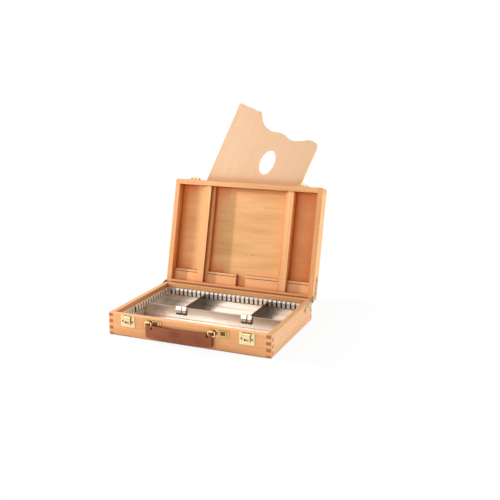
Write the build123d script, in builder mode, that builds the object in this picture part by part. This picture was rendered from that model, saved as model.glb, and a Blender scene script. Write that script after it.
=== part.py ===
from build123d import *
import os
from math import cos, radians, sin, tan

# Pochade box, in millimetres: a finger-jointed beech case with a metal-lined tray, and a lid with
# board bays, a palette pocket and its palette. +X is the width from left to right, +Y runs from the
# front to the hinges and +Z is up. The origin is the bottom centre of the case. The lid stands open.

os.makedirs("parts", exist_ok=True)

# ------------------------------------------------------------------ driving dimensions

# case and lid
box_width = 380.0
box_depth = 260.0
base_height = 50.0
lid_height = 34.0
wall = 12.0
edge_round = 1.2
corner_round = 4.0
base_fingers = 7
lid_fingers = 5
bottom_thickness = 6.0
bottom_rebate = 6.0
panel_play = 0.3

# lid hinge
open_angle = 104.5
seam_gap = 0.3
lid_side_play = 0.3
pivot_inset = 1.1
pivot_drop = 3.0

# lid panels, with depths measured from the rim
outer_panel_thickness = 3.0
outer_rebate = 6.0
pocket_depth = 5.0
inner_panel_thickness = 3.0
panel_groove = 4.0

# rails that stand between the bays
rail_setback = 3.0
left_rail_x = -100.8
left_rail_width = 15.6
right_rail_x = 111.8
right_rail_width = 15.6
board_groove_width = 7.5
board_groove_depth = 5.0
board_lip = 1.8
rail_step = 7.0

# ledges along the hinge side of the bays
ledge_setback = 13.0
ledge_height = 27.5
ledge_line_height = 21.0
ledge_line_width = 2.0
ledge_line_depth = 3.0
notch_x = 2.4
notch_width = 24.6

# palette
palette_length = 352.3
palette_width = 228.0
palette_thickness = 4.0
palette_tilt = 20.0
palette_corner = 4.0
palette_play = 0.4
palette_slot_left = -124.0
palette_floor_height = 35.4
thumb_length = 62.3
thumb_width = 37.0
thumb_tilt = -1.5
thumb_across = 127.2
thumb_down = 104.0
bite_start = 61.0
# The scooped end: how far each point lies past the bite's start, and how far below the end.
scoop = [(4.9, 7.4), (13.3, 19.6), (27.7, 29.4), (41.3, 32.1)]
scoop += [(56.8, 29.3), (69.8, 27.4), (81.8, 28.9), (94.0, 32.6)]
# The horn beside it: how far each point lies from the right edge, and how far below the end.
horn = [(51.8, 29.0), (37.8, 21.8), (25.8, 15.7), (16.8, 14.7), (7.0, 16.7)]
horn_drop = 27.3

# metal tray
sheet = 0.8
tray_gap = 0.4
tray_height = 35.0
tray_corner = 2.0
loop_pitch = 11.5
loop_width = 7.0
loop_height = 17.0
loop_bulge = 3.0
loop_drop = 1.5
loop_margin = 15.8
side_loop_front = -36.0

# dividers
divider_sheet = 1.0
divider_height = 26.9
divider_play = 0.3
long_divider_y = 6.0
left_divider_x = -75.0
middle_cell_pitches = 14
cross_divider_rise = 1.0
# The flange at a cross divider's front end and its two clips, from the divider's middle.
flange_span = (-19.0, 6.0)
clip_spans = [(-19.0, -6.0), (-3.0, 6.0)]
clip_back_fall = 14.0
clip_bulge = 4.5
# How far below the top each bend of a clip's front leg lies.
clip_bends = [6.0, 14.0, 19.0]

# wood screws
screw_head_radius = 2.4
screw_head_depth = 1.3
screw_shank_radius = 1.3
screw_length = 9.0
screw_play = 0.05
screw_slot_width = 0.7
screw_slot_depth = 0.5

# hinge arms on the sides
arm_thickness = 1.2
arm_eye_radius = 5.5
arm_end_radius = 5.0
arm_play = 0.3
base_arm_reach = 48.0
base_arm_fall = 9.0
base_arm_screws = [0.0, 24.0]
lid_arm_level = 20.0
lid_arm_heel = 8.5
lid_arm_length = 41.0
lid_arm_screws = [8.0, 38.5]
rivet_radius = 1.7
rivet_head_radius = 3.2
rivet_head_height = 0.9
rivet_play = 0.1
fixed_play = 0.02

# latches on the case and catches on the lid
fitting_shift = -2.0
latch_inset = 51.4
latch_plate_width = 34.0
latch_plate_height = 26.0
latch_plate_drop = 0.5
latch_plate_thickness = 1.0
latch_screw_spread = 23.4
latch_screw_drop = 13.5
lever_width = 15.0
lever_sheet = 1.2
lever_length = 16.5
lever_barrel_radius = 2.1
lever_window_start = 9.0
lever_window_height = 5.0
lever_window_width = 10.0
lever_curl_radius = 1.1
lug_thickness = 1.2
lug_radius = 2.6
lug_play = 0.35
latch_pivot_drop = 3.0
latch_pin_radius = 1.0
latch_pin_overhang = 0.4
pin_play = 0.08
catch_width = 36.0
catch_height = 20.0
catch_inset = 2.0
catch_thickness = 1.0
catch_screw_spread = 27.0
catch_nose_width = 9.0
catch_nose_reach = 7.0
catch_nose_sheet = 1.4
catch_nose_curl = 3.4
catch_ear_spread = 20.0
catch_ear_width = 1.6
catch_ear_length = 7.0
catch_ear_height = 4.2

# handle
handle_plate_inset = 111.8
handle_plate_width = 42.0
handle_plate_height = 19.5
handle_plate_drop = 0.8
handle_plate_round = 3.0
handle_plate_thickness = 1.0
handle_window_shift = 8.0
handle_window_width = 11.0
handle_window_height = 7.5
handle_window_rim = 3.0
handle_rim_height = 0.8
handle_axis_drop = 8.0
handle_eye_length = 8.0
handle_eye_radius = 3.2
handle_eye_gap = 0.4
# Each plate's screws, from its centre: across, then up.
handle_screws = {"left": [(-16.0, -6.4), (-3.2, -6.4)], "right": [(-16.0, -6.4), (-5.4, 0.0)]}
# How far each ring hangs from its plate's middle.
ring_offsets = {"left": -8.6, "right": -17.0}
ring_width = 18.0
ring_drop = 9.5
ring_wire = 3.0
ring_corner = 3.5
ring_play = 0.2
strap_overhang = 5.0
strap_height = 28.5
strap_sag = 3.5
strap_thickness = 5.0
strap_top_drop = 4.7
strap_edge = 1.2
strap_play = 0.3

# ------------------------------------------------------------------ derived places

half_width = box_width / 2
half_depth = box_depth / 2
inner_half_width = half_width - wall
inner_half_depth = half_depth - wall
pivot_y = half_depth - pivot_inset
pivot_z = base_height - pivot_drop

# The lid frame: x to the right, y up the open lid from its hinge edge, z out of its rim.
swing = radians(open_angle)
corner_y = pivot_inset
corner_z = pivot_drop + seam_gap
lid_origin = (
    0,
    pivot_y + corner_y * cos(swing) + corner_z * sin(swing),
    pivot_z - corner_y * sin(swing) + corner_z * cos(swing),
)
lid_frame = Plane(origin=lid_origin, x_dir=(1, 0, 0), z_dir=(0, -sin(swing), -cos(swing)))
lid_half_width = half_width - lid_side_play
lid_inner_half = lid_half_width - wall
bay_low = wall
bay_high = box_depth - wall
inner_panel_depth = lid_height - outer_panel_thickness - pocket_depth - inner_panel_thickness
pocket_top = inner_panel_depth + inner_panel_thickness
board_groove_depth_start = rail_setback + board_lip
board_back = board_groove_depth_start + board_groove_width

BOTTOM = (Align.CENTER, Align.CENTER, Align.MIN)
TOP = (Align.CENTER, Align.CENTER, Align.MAX)
SIDES = (("left", -1), ("right", 1))


def save(piece, name):
    """Label a finished piece and write its STEP file."""
    piece.part.label = name
    export_step(piece.part, f"parts/{name}.step")


def lid_point(x, up, depth):
    """A point by the lid's own measures: up from the hinge edge, depth in from the rim."""
    return lid_frame.from_local_coords(Vector(x, up, -depth))


def lid_depth_plane(depth):
    """A plane in line with the rim that faces out of it."""
    return lid_frame.offset(-depth)


def lid_across_plane(up):
    """A plane across the lid: x to the right, y into the depth, facing the latch side."""
    return Plane(origin=lid_point(0, up, 0), x_dir=(1, 0, 0), z_dir=lid_frame.y_dir)


def lid_side_plane(x):
    """A plane along the lid's side: x up the lid from its middle, y into the depth, facing left."""
    return Plane(origin=lid_point(x, half_depth, 0), x_dir=lid_frame.y_dir, z_dir=(-1, 0, 0))


def finger_face(plane, length, height, fingers, first):
    """A wall's face, with every second finger cut away at both ends from the first one up."""
    finger = height / fingers
    recess_x = length / 2 - wall / 2
    recesses = [(x, row * finger) for x in (-recess_x, recess_x) for row in range(first, fingers, 2)]
    with BuildSketch(plane) as face:
        Rectangle(length, height, align=(Align.CENTER, Align.MIN))
        with Locations(*recesses):
            Rectangle(wall, finger, align=(Align.CENTER, Align.MIN), mode=Mode.SUBTRACT)
    return face.sketch


def screw_shape(play):
    """A countersunk screw along Z, its head's face at the origin, grown by the play."""
    shank = screw_shank_radius + play
    head = screw_head_radius + play
    with BuildPart() as shape:
        with BuildSketch(Plane.XZ):
            Polygon(
                (0, 0),
                (head, 0),
                (shank, -screw_head_depth),
                (shank, -screw_length - play),
                (0, -screw_length - play),
                align=None,
            )
        revolve(axis=Axis.Z)
    return shape.part


screw_hole = screw_shape(screw_play)
with BuildPart() as screw:
    add(screw_shape(0))
    Box(screw_slot_width, 3 * screw_head_radius, screw_slot_depth, align=TOP, mode=Mode.SUBTRACT)


def save_screws(places, name):
    """A group of screws, each with its head's face at its place."""
    with BuildPart() as group:
        with Locations(*places):
            add(screw.part)
    save(group, name)


# ------------------------------------------------------------------ hinge places

base_arm_x = half_width + arm_thickness
lid_arm_x = lid_half_width + arm_thickness
base_arm_end = (pivot_y - base_arm_reach, pivot_z - base_arm_fall)
base_hinge_screws = [
    Location((sign * base_arm_x, base_arm_end[0] + along, base_arm_end[1]), (0, sign * 90, 0))
    for side, sign in SIDES
    for along in base_arm_screws
]
lid_hinge_screws = [
    lid_frame.location
    * Location((sign * lid_arm_x, lid_arm_heel + along, -lid_arm_level), (0, sign * 90, 0))
    for side, sign in SIDES
    for along in lid_arm_screws
]

# ------------------------------------------------------------------ latch and handle places

front_face = -half_depth
latch_places = [fitting_shift - half_width + latch_inset, fitting_shift + half_width - latch_inset]
latch_plate_top = base_height - latch_plate_drop
latch_pivot_z = latch_plate_top - latch_pivot_drop
latch_pivot_y = front_face - latch_plate_thickness - lug_play - lever_barrel_radius
latch_screws = [
    Location(
        (x + offset, front_face - latch_plate_thickness, latch_plate_top - latch_screw_drop),
        (90, 0, 0),
    )
    for x in latch_places
    for offset in (-latch_screw_spread / 2, latch_screw_spread / 2)
]
catch_middle = catch_inset + catch_height / 2
catch_screws = [
    lid_frame.location
    * Location((x + offset, box_depth + catch_thickness, -catch_middle), (-90, 0, 0))
    for x in latch_places
    for offset in (-catch_screw_spread / 2, catch_screw_spread / 2)
]
handle_plate_x = half_width - handle_plate_inset
handle_plate_places = [fitting_shift - handle_plate_x, fitting_shift + handle_plate_x]
ring_places = [x + ring_offsets[side] for (side, sign), x in zip(SIDES, handle_plate_places)]
handle_plate_z = base_height - handle_plate_drop - handle_plate_height / 2
handle_axis_z = base_height - handle_axis_drop
handle_axis_y = front_face - handle_plate_thickness - handle_eye_gap - handle_eye_radius
handle_screw_places = [
    Location((plate_x + across, front_face - handle_plate_thickness, handle_plate_z + up), (90, 0, 0))
    for (side, sign), plate_x in zip(SIDES, handle_plate_places)
    for across, up in handle_screws[side]
]

# ------------------------------------------------------------------ case

with BuildPart() as case_envelope:
    Box(box_width, box_depth, base_height, align=BOTTOM)
    fillet(case_envelope.edges().filter_by_position(Axis.Z, 0, base_height - 1), corner_round)
    fillet(case_envelope.edges().group_by(Axis.Z)[-1], edge_round)

with BuildPart() as bottom_space:
    Box(
        2 * (inner_half_width + bottom_rebate),
        2 * (inner_half_depth + bottom_rebate),
        bottom_thickness,
        align=BOTTOM,
    )

with BuildPart() as base_front_wall:
    extrude(finger_face(Plane.XZ.offset(inner_half_depth), box_width, base_height, base_fingers, 0), wall)
    add(case_envelope.part, mode=Mode.INTERSECT)
    add(bottom_space.part, mode=Mode.SUBTRACT)
    with Locations(*latch_screws, *handle_screw_places):
        add(screw_hole, mode=Mode.SUBTRACT)
save(base_front_wall, "base_front_wall")

with BuildPart() as base_back_wall:
    extrude(finger_face(Plane.XZ.offset(-half_depth), box_width, base_height, base_fingers, 0), wall)
    add(case_envelope.part, mode=Mode.INTERSECT)
    add(bottom_space.part, mode=Mode.SUBTRACT)
save(base_back_wall, "base_back_wall")

for side, start in (("left", -half_width), ("right", inner_half_width)):
    with BuildPart() as base_side_wall:
        extrude(finger_face(Plane.YZ.offset(start), box_depth, base_height, base_fingers, 1), wall)
        add(case_envelope.part, mode=Mode.INTERSECT)
        add(bottom_space.part, mode=Mode.SUBTRACT)
        with Locations(*base_hinge_screws):
            add(screw_hole, mode=Mode.SUBTRACT)
    save(base_side_wall, f"base_{side}_wall")

with BuildPart() as base_bottom_panel:
    Box(
        2 * (inner_half_width + bottom_rebate - panel_play),
        2 * (inner_half_depth + bottom_rebate - panel_play),
        bottom_thickness,
        align=BOTTOM,
    )
save(base_bottom_panel, "base_bottom_panel")

# ------------------------------------------------------------------ metal tray

tray_half_width = inner_half_width - tray_gap
tray_half_depth = inner_half_depth - tray_gap
tray_inner_x = tray_half_width - sheet
tray_inner_y = tray_half_depth - sheet
tray_floor = bottom_thickness + sheet
loop_z = bottom_thickness + tray_height - loop_drop - loop_height / 2


def loop_stations(grid, low, high):
    """Loop centres half a pitch either side of the grid line, as many as fit between the ends."""
    first = -int((grid - low) / loop_pitch + 0.5)
    last = int((high - grid) / loop_pitch + 0.5)
    return [grid + (step + 0.5) * loop_pitch for step in range(first, last)]


back_limit = tray_inner_x - loop_margin
side_limit = tray_inner_y - loop_bulge - loop_width
back_loops = loop_stations(left_divider_x, -back_limit, back_limit)
side_loops = loop_stations(long_divider_y, side_loop_front, side_limit)
# On each loop plane, x points out of the tray's wall and y up.
loop_planes = [
    Plane(origin=(x, tray_inner_y, loop_z), x_dir=(0, -1, 0), z_dir=(-1, 0, 0)) for x in back_loops
]
loop_planes += [
    Plane(origin=(sign * tray_inner_x, y, loop_z), x_dir=(-sign, 0, 0), z_dir=(0, sign, 0))
    for side, sign in SIDES
    for y in side_loops
]
half_loop = loop_height / 2

with BuildPart() as metal_tray:
    with BuildSketch(Plane.XY.offset(bottom_thickness)):
        RectangleRounded(2 * tray_half_width, 2 * tray_half_depth, tray_corner)
    extrude(amount=tray_height)
    with BuildSketch(Plane.XY.offset(tray_floor)):
        RectangleRounded(2 * tray_inner_x, 2 * tray_inner_y, tray_corner - sheet)
    extrude(amount=tray_height, mode=Mode.SUBTRACT)
    with BuildSketch(*loop_planes):
        Polygon(
            (-sheet / 2, -half_loop),
            (0, -half_loop),
            (loop_bulge, loop_bulge - half_loop),
            (loop_bulge, half_loop - loop_bulge),
            (0, half_loop),
            (-sheet / 2, half_loop),
            align=None,
        )
    extrude(amount=loop_width / 2, both=True)
    with BuildSketch(*loop_planes):
        Polygon(
            (-2 * sheet, 1.5 * sheet - half_loop),
            (0, 1.5 * sheet - half_loop),
            (loop_bulge - sheet, loop_bulge + sheet / 2 - half_loop),
            (loop_bulge - sheet, half_loop - loop_bulge - sheet / 2),
            (0, half_loop - 1.5 * sheet),
            (-2 * sheet, half_loop - 1.5 * sheet),
            align=None,
        )
    extrude(amount=loop_width / 2, both=True, mode=Mode.SUBTRACT)
save(metal_tray, "metal_tray")

# ------------------------------------------------------------------ dividers

divider_floor = tray_floor + divider_play
divider_top = divider_floor + divider_height

with BuildPart() as long_divider:
    with Locations((0, long_divider_y, divider_floor)):
        Box(2 * (tray_inner_x - divider_play), divider_sheet, divider_height, align=BOTTOM)
save(long_divider, "long_divider")

cross_front = long_divider_y + divider_sheet / 2 + divider_play
cross_back = tray_inner_y - divider_play
cross_top = divider_top + cross_divider_rise
clip_front = long_divider_y - divider_sheet / 2 - divider_play - divider_sheet
right_divider_x = left_divider_x + middle_cell_pitches * loop_pitch
clip_outside = [
    (clip_front, cross_top + divider_sheet),
    (clip_front - clip_bulge, cross_top - clip_bends[0]),
    (clip_front - clip_bulge, cross_top - clip_bends[1]),
    (clip_front, cross_top - clip_bends[2]),
]
clip_inside = [(y + divider_sheet, z) for y, z in reversed(clip_outside)]

for side, x in (("left", left_divider_x), ("right", right_divider_x)):
    with BuildPart() as cross_divider:
        with BuildSketch(Plane.XY.offset(divider_floor)):
            with Locations((x, cross_front)):
                Rectangle(divider_sheet, cross_back - cross_front, align=(Align.CENTER, Align.MIN))
            with Locations((x + flange_span[0], cross_front)):
                Rectangle(flange_span[1] - flange_span[0], divider_sheet, align=(Align.MIN, Align.MIN))
        extrude(amount=divider_height + cross_divider_rise)
        for low, high in clip_spans:
            with BuildSketch(Plane.YZ.offset(x + low)):
                with Locations((cross_front + divider_sheet, cross_top)):
                    Rectangle(
                        cross_front + divider_sheet - clip_front, divider_sheet, align=(Align.MAX, Align.MIN)
                    )
                    Rectangle(divider_sheet, clip_back_fall, align=(Align.MAX, Align.MAX))
                Polygon(*clip_outside, *clip_inside, align=None)
            extrude(amount=high - low)
    save(cross_divider, f"cross_divider_{side}")

# ------------------------------------------------------------------ lid walls and panels

with BuildPart() as lid_envelope:
    with BuildSketch(lid_depth_plane(lid_height)):
        Rectangle(2 * lid_half_width, box_depth, align=(Align.CENTER, Align.MIN))
    extrude(amount=lid_height)
    rim_way = Axis(lid_frame.origin, lid_frame.z_dir)
    outer_edges = lid_envelope.edges().group_by(rim_way)[0]
    fillet(outer_edges + lid_envelope.edges().filter_by(rim_way), corner_round)
    fillet(lid_envelope.edges().group_by(rim_way)[-1], edge_round)


def lid_board(depth, thickness, margin):
    """A board across the lid's inside, with its face at a depth, reaching a margin into the walls."""
    with BuildSketch(lid_depth_plane(depth + thickness)) as board:
        with Locations((0, half_depth)):
            Rectangle(2 * (lid_inner_half + margin), 2 * (half_depth - wall + margin))
    return extrude(board.sketch, thickness)


inner_panel_groove = lid_board(inner_panel_depth, inner_panel_thickness, panel_groove)
outer_panel_rebate = lid_board(lid_height - outer_panel_thickness, outer_panel_thickness, outer_rebate)

palette_angle = radians(palette_tilt)
slot_length = (palette_width + 2 * palette_play) / cos(palette_angle) + wall * tan(palette_angle)

with BuildPart() as lid_front_wall:
    extrude(finger_face(lid_across_plane(bay_high), 2 * lid_half_width, lid_height, lid_fingers, 0), wall)
    add(lid_envelope.part, mode=Mode.INTERSECT)
    add([inner_panel_groove, outer_panel_rebate], mode=Mode.SUBTRACT)
    with BuildSketch(lid_across_plane(bay_high)):
        with Locations((palette_slot_left, pocket_top)):
            Rectangle(slot_length, pocket_depth, align=(Align.MIN, Align.MIN))
    extrude(amount=wall, mode=Mode.SUBTRACT)
    with Locations(*catch_screws):
        add(screw_hole, mode=Mode.SUBTRACT)
save(lid_front_wall, "lid_front_wall")

with BuildPart() as lid_back_wall:
    extrude(finger_face(lid_across_plane(0), 2 * lid_half_width, lid_height, lid_fingers, 0), wall)
    add(lid_envelope.part, mode=Mode.INTERSECT)
    add([inner_panel_groove, outer_panel_rebate], mode=Mode.SUBTRACT)
save(lid_back_wall, "lid_back_wall")

for side, start in (("left", -lid_inner_half), ("right", lid_half_width)):
    with BuildPart() as lid_side_wall:
        extrude(finger_face(lid_side_plane(start), box_depth, lid_height, lid_fingers, 1), wall)
        add(lid_envelope.part, mode=Mode.INTERSECT)
        add([inner_panel_groove, outer_panel_rebate], mode=Mode.SUBTRACT)
        with Locations(*lid_hinge_screws):
            add(screw_hole, mode=Mode.SUBTRACT)
    save(lid_side_wall, f"lid_{side}_wall")

with BuildPart() as lid_inner_panel:
    add(lid_board(inner_panel_depth, inner_panel_thickness, panel_groove - panel_play))
save(lid_inner_panel, "lid_inner_panel")

with BuildPart() as lid_outer_panel:
    add(lid_board(lid_height - outer_panel_thickness, outer_panel_thickness, outer_rebate - panel_play))
save(lid_outer_panel, "lid_outer_panel")

# ------------------------------------------------------------------ rails and ledges in the lid

left_rail_inner = left_rail_x + left_rail_width / 2
right_rail_inner = right_rail_x - right_rail_width / 2
rail_faces = [
    ("left", left_rail_x, left_rail_width, left_rail_inner, Align.MAX, Align.MIN),
    ("right", right_rail_x, right_rail_width, right_rail_inner, Align.MIN, Align.MAX),
]
for side, x, width, inner_face, groove_align, step_align in rail_faces:
    # A board slides in the groove, against a step that stands further in behind it.
    with BuildPart() as lid_rail:
        with BuildSketch(lid_across_plane(bay_low)):
            with Locations((x, rail_setback)):
                Rectangle(width, inner_panel_depth - rail_setback, align=(Align.CENTER, Align.MIN))
            with Locations((inner_face, board_groove_depth_start)):
                Rectangle(
                    board_groove_depth,
                    board_groove_width,
                    align=(groove_align, Align.MIN),
                    mode=Mode.SUBTRACT,
                )
            with Locations((inner_face, board_back)):
                Rectangle(rail_step, inner_panel_depth - board_back, align=(step_align, Align.MIN))
        extrude(amount=bay_high - bay_low)
    save(lid_rail, f"lid_rail_{side}")

ledge_spans = [
    ("left", -lid_inner_half, left_rail_x - left_rail_width / 2),
    ("centre_left", left_rail_inner + rail_step, notch_x - notch_width / 2),
    ("centre_right", notch_x + notch_width / 2, right_rail_inner - rail_step),
    ("right", right_rail_x + right_rail_width / 2, lid_inner_half),
]
for place, low, high in ledge_spans:
    # A batten against the panel, with a fine line cut along its front.
    with BuildPart() as lid_ledge:
        with BuildSketch(lid_side_plane(high)):
            with Locations((bay_low - half_depth, ledge_setback)):
                Rectangle(ledge_height, inner_panel_depth - ledge_setback, align=(Align.MIN, Align.MIN))
            with Locations((bay_low + ledge_line_height - half_depth, ledge_setback)):
                Rectangle(
                    ledge_line_width, ledge_line_depth, align=(Align.MIN, Align.MIN), mode=Mode.SUBTRACT
                )
        extrude(amount=high - low)
    save(lid_ledge, f"lid_ledge_{place}")

with BuildPart() as palette_floor_strip:
    with BuildSketch(lid_depth_plane(pocket_top + pocket_depth)):
        with Locations((0, bay_low)):
            Rectangle(2 * lid_inner_half, palette_floor_height, align=(Align.CENTER, Align.MIN))
    extrude(amount=pocket_depth)
save(palette_floor_strip, "palette_floor_strip")

# ------------------------------------------------------------------ palette

# It leans on the left end of its slot and stands on the strip with its lowest corner.
palette_rest = bay_low + palette_floor_height + palette_play
corner_lift = (palette_width - palette_corner) * sin(palette_angle)
palette_foot = palette_rest + corner_lift + palette_corner * (1 - cos(palette_angle))
palette_left = palette_slot_left + palette_play - (bay_high - palette_foot) * tan(palette_angle)
palette_frame = Plane(
    origin=lid_point(palette_left, palette_foot, pocket_top + (pocket_depth + palette_thickness) / 2),
    x_dir=lid_frame.x_dir * cos(palette_angle) - lid_frame.y_dir * sin(palette_angle),
    z_dir=lid_frame.z_dir,
)
scoop_points = [(bite_start + across, palette_length - down) for across, down in scoop]
horn_points = [(palette_width - across, palette_length - down) for across, down in horn]

with BuildPart() as palette:
    with BuildSketch(palette_frame) as palette_face:
        with BuildLine():
            edge = Polyline(
                (palette_width, palette_length - horn_drop),
                (palette_width, 0),
                (0, 0),
                (0, palette_length),
                (bite_start, palette_length),
            )
            Spline(edge @ 1, *scoop_points, *horn_points, edge @ 0, tangents=[(0.6, -1), (0, -1)])
        make_face()
        square_corners = palette_face.vertices().filter_by(lambda v: abs(v.X) < 1 or v.Y < 1)
        fillet(square_corners, palette_corner)
        with Locations((thumb_across, palette_length - thumb_down)):
            Ellipse(thumb_width / 2, thumb_length / 2, rotation=thumb_tilt, mode=Mode.SUBTRACT)
    extrude(amount=palette_thickness)
save(palette, "palette")

# ------------------------------------------------------------------ side hinges

pivot_in_lid = (-corner_y, -corner_z)


def rivet_hole(radius):
    """A hole through everything around the pivot, grown to a radius."""
    with Locations(Location((0, pivot_y, pivot_z), (0, 90, 0))):
        Cylinder(radius, 2 * box_width, mode=Mode.SUBTRACT)


for side, sign in SIDES:
    inner_x = half_width if sign > 0 else -base_arm_x
    with BuildPart() as hinge_base_arm:
        with BuildSketch(Plane.YZ.offset(inner_x)):
            with Locations(base_arm_end):
                Circle(arm_end_radius)
            with Locations((base_arm_end[0] + base_arm_screws[-1], base_arm_end[1])):
                Circle(arm_end_radius)
            with Locations((pivot_y, pivot_z)):
                Circle(arm_eye_radius)
            make_hull()
        extrude(amount=arm_thickness)
        rivet_hole(rivet_radius + fixed_play)
        with Locations(*base_hinge_screws):
            add(screw_hole, mode=Mode.SUBTRACT)
    save(hinge_base_arm, f"hinge_base_arm_{side}")

# The lid's arm lies on the lid and steps outwards over the eye of the base's arm.
step_out = base_arm_x + arm_play - lid_half_width
eye_up = corner_y - half_depth
heel_up = lid_arm_heel - half_depth
step_depth = -corner_z + arm_eye_radius + 2 * arm_play
leg_low = -corner_z - arm_eye_radius
leg_high = lid_arm_level + arm_end_radius


def lid_leg(face_x, thickness, low, high):
    """The part between two depths of the leg that joins the lid arm's eye to its heel."""
    with BuildSketch(lid_side_plane(face_x)) as leg:
        with Locations((eye_up, -corner_z)):
            Circle(arm_eye_radius)
        with Locations((heel_up, lid_arm_level)):
            Circle(arm_end_radius)
        make_hull()
        with Locations((0, (low + high) / 2)):
            Rectangle(2 * box_depth, high - low, mode=Mode.INTERSECT)
    extrude(leg.sketch, thickness)


for side, sign in SIDES:
    lid_face_x = lid_arm_x if sign > 0 else -lid_half_width
    eye_face_x = lid_arm_x + step_out if sign > 0 else -lid_half_width - step_out
    with BuildPart() as hinge_lid_arm:
        with BuildSketch(lid_side_plane(lid_face_x)):
            with Locations((heel_up, lid_arm_level), (heel_up + lid_arm_length, lid_arm_level)):
                Circle(arm_end_radius)
            make_hull()
        extrude(amount=arm_thickness)
        lid_leg(lid_face_x, arm_thickness, step_depth, leg_high)
        lid_leg(eye_face_x, arm_thickness, leg_low, step_depth + arm_thickness)
        step_face_x = max(lid_face_x, eye_face_x)
        lid_leg(step_face_x, arm_thickness + step_out, step_depth, step_depth + arm_thickness)
        rivet_hole(rivet_radius + rivet_play)
        with Locations(*lid_hinge_screws):
            add(screw_hole, mode=Mode.SUBTRACT)
    save(hinge_lid_arm, f"hinge_lid_arm_{side}")

    shank_length = arm_thickness + arm_play + arm_thickness + rivet_play
    with BuildPart() as hinge_rivet:
        with Locations(Location((sign * half_width, pivot_y, pivot_z), (0, sign * 90, 0))):
            Cylinder(rivet_radius, shank_length + rivet_head_height / 2, align=BOTTOM)
            with Locations((0, 0, shank_length)):
                Cylinder(rivet_head_radius, rivet_head_height, align=BOTTOM)
    save(hinge_rivet, f"hinge_rivet_{side}")

save_screws(base_hinge_screws, "hinge_base_screws")
save_screws(lid_hinge_screws, "hinge_lid_screws")

# ------------------------------------------------------------------ latches

lug_inner = lever_width / 2 + lug_play
nose_depth = latch_pivot_z + lever_window_start + lever_window_height / 2 - base_height - seam_gap
nose_end = half_depth + catch_thickness + catch_nose_reach
ear_places = [-catch_ear_spread / 2, catch_ear_spread / 2]
pin_length = 2 * (lug_inner + lug_thickness + latch_pin_overhang)

for (side, sign), x in zip(SIDES, latch_places):
    pivot_place = Location((x, latch_pivot_y, latch_pivot_z), (0, 90, 0))

    with BuildPart() as latch_plate:
        with BuildSketch(Plane.XZ.offset(half_depth)):
            with Locations((x, latch_plate_top)):
                Rectangle(latch_plate_width, latch_plate_height, align=(Align.CENTER, Align.MAX))
        extrude(amount=latch_plate_thickness)
        with BuildSketch(*[Plane.YZ.offset(x + at) for at in (-lug_inner - lug_thickness, lug_inner)]):
            with Locations((latch_pivot_y, latch_pivot_z)):
                Circle(lug_radius)
                Rectangle(front_face - latch_pivot_y, 2 * lug_radius, align=(Align.MIN, Align.CENTER))
        extrude(amount=lug_thickness)
        with Locations(pivot_place):
            Cylinder(latch_pin_radius + fixed_play, pin_length, mode=Mode.SUBTRACT)
        with Locations(*latch_screws):
            add(screw_hole, mode=Mode.SUBTRACT)
    save(latch_plate, f"latch_plate_{side}")

    with BuildPart() as latch_pin:
        with Locations(pivot_place):
            Cylinder(latch_pin_radius, pin_length)
    save(latch_pin, f"latch_pin_{side}")

    with BuildPart() as latch_lever:
        with Locations(pivot_place):
            Cylinder(lever_barrel_radius, lever_width)
        with BuildSketch(Plane.XZ.offset(-latch_pivot_y - lever_sheet / 2)):
            with Locations((x, latch_pivot_z)):
                Rectangle(lever_width, lever_length, align=(Align.CENTER, Align.MAX))
            with Locations((x, latch_pivot_z - lever_window_start)):
                Rectangle(
                    lever_window_width,
                    lever_window_height,
                    align=(Align.CENTER, Align.MAX),
                    mode=Mode.SUBTRACT,
                )
        extrude(amount=lever_sheet)
        with Locations(
            Location(
                (x, latch_pivot_y - lever_sheet / 2, latch_pivot_z - lever_length + lever_curl_radius / 2),
                (0, 90, 0),
            )
        ):
            Cylinder(lever_curl_radius, lever_width)
        with Locations(pivot_place):
            Cylinder(latch_pin_radius + pin_play, lever_width, mode=Mode.SUBTRACT)
    save(latch_lever, f"latch_lever_{side}")

    # The catch's nose goes through the raised lever's window, and its ears stand beside the lever.
    with BuildPart() as catch:
        with BuildSketch(lid_across_plane(box_depth)):
            with Locations((x, catch_inset)):
                Rectangle(catch_width, catch_height, align=(Align.CENTER, Align.MIN))
        extrude(amount=catch_thickness)
        with BuildSketch(lid_side_plane(x + catch_nose_width / 2)):
            with Locations((half_depth, nose_depth)):
                Rectangle(
                    catch_thickness + catch_nose_reach,
                    catch_nose_sheet,
                    align=(Align.MIN, Align.CENTER),
                )
            with Locations((nose_end, nose_depth - catch_nose_sheet / 2)):
                Rectangle(catch_nose_sheet, catch_nose_curl, align=(Align.MAX, Align.MIN))
        extrude(amount=catch_nose_width)
        with BuildSketch(*[lid_side_plane(x + at) for at in ear_places]):
            with Locations((half_depth, nose_depth + catch_nose_curl / 2)):
                Rectangle(
                    catch_thickness + catch_ear_height, catch_ear_length, align=(Align.MIN, Align.CENTER)
                )
        extrude(amount=catch_ear_width / 2, both=True)
        with Locations(*catch_screws):
            add(screw_hole, mode=Mode.SUBTRACT)
    save(catch, f"catch_{side}")

save_screws(latch_screws, "latch_screws")
save_screws(catch_screws, "catch_screws")

# ------------------------------------------------------------------ handle


def ring_shape(x, wire_radius):
    """A closed wire ring that hangs from the handle's axis, bent from wire of a radius."""
    with BuildSketch(Plane.XZ.offset(-handle_axis_y)) as outline:
        with Locations((x, handle_axis_z - ring_drop / 2)):
            RectangleRounded(ring_width - ring_wire, ring_drop, ring_corner)
    path = outline.sketch.face().outer_wire()
    with BuildPart() as shape:
        with BuildSketch(Plane(origin=path @ 0, z_dir=path % 0)):
            Circle(wire_radius)
        sweep(path=path)
    return shape.part


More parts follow.
